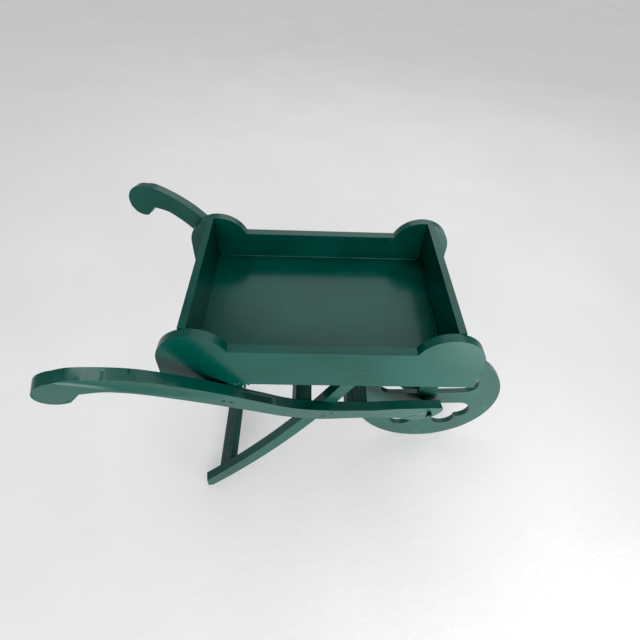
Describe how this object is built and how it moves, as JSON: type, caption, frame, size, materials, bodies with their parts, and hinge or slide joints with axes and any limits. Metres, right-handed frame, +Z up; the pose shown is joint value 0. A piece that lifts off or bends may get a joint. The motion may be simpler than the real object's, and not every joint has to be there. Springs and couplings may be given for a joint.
{
  "type": "wooden wheelbarrow",
  "caption": "Painted wooden flower barrow: a shallow round-eared tray on splayed scroll-grip shafts, curved crossing legs and one disc wheel with clover windows.",
  "frame": {"origin": "on the ground, on the centre line, midway between the backs of the grips and the front of the wheel", "axes": "+X forward from the grips to the wheel, +Y to the left of a person at the grips, +Z up"},
  "size_m": [1.0136, 0.6292, 0.6864],
  "materials": {
    "painted_wood": "dark bottle-green semi-gloss paint over wood grain",
    "painted_steel": "the same green paint over steel"
  },
  "bodies": {
    "barrow": {"axle": "painted_steel", "bearer_screw_left": "painted_steel", "bearer_screw_right": "painted_steel", "bolster_screw_left_1": "painted_steel", "bolster_screw_left_2": "painted_steel", "bolster_screw_right_1": "painted_steel", "bolster_screw_right_2": "painted_steel", "corner_screw_left_front_1": "painted_steel", "corner_screw_left_front_2": "painted_steel", "corner_screw_left_rear_1": "painted_steel", "corner_screw_left_rear_2": "painted_steel", "corner_screw_right_front_1": "painted_steel", "corner_screw_right_front_2": "painted_steel", "corner_screw_right_rear_1": "painted_steel", "corner_screw_right_rear_2": "painted_steel", "floor_screw_left_front": "painted_steel", "floor_screw_left_rear": "painted_steel", "floor_screw_right_front": "painted_steel", "floor_screw_right_rear": "painted_steel", "leg_left": "painted_wood", "leg_right": "painted_wood", "leg_screw_left_1": "painted_steel", "leg_screw_left_2": "painted_steel", "leg_screw_right_1": "painted_steel", "leg_screw_right_2": "painted_steel", "leg_stretcher": "painted_wood", "shaft_left": "painted_wood", "shaft_rail_front": "painted_wood", "shaft_rail_rear": "painted_wood", "shaft_right": "painted_wood", "tray_bearer_front": "painted_wood", "tray_bolster_rear": "painted_wood", "tray_end_front": "painted_wood", "tray_end_rear": "painted_wood", "tray_floor": "painted_wood", "tray_screw_left": "painted_steel", "tray_screw_right": "painted_steel", "tray_side_left": "painted_wood", "tray_side_right": "painted_wood", "wheel_spacer_left": "painted_wood", "wheel_spacer_right": "painted_wood"},
    "wheel": {"wheel": "painted_wood"}
  },
  "joints": [
    {"name": "wheel_spin", "type": "hinge", "parent": "barrow", "child": "wheel", "pos_m": [0.30177, 0, 0.205], "axis": [0, 1, 0], "continuous": true}
  ]
}
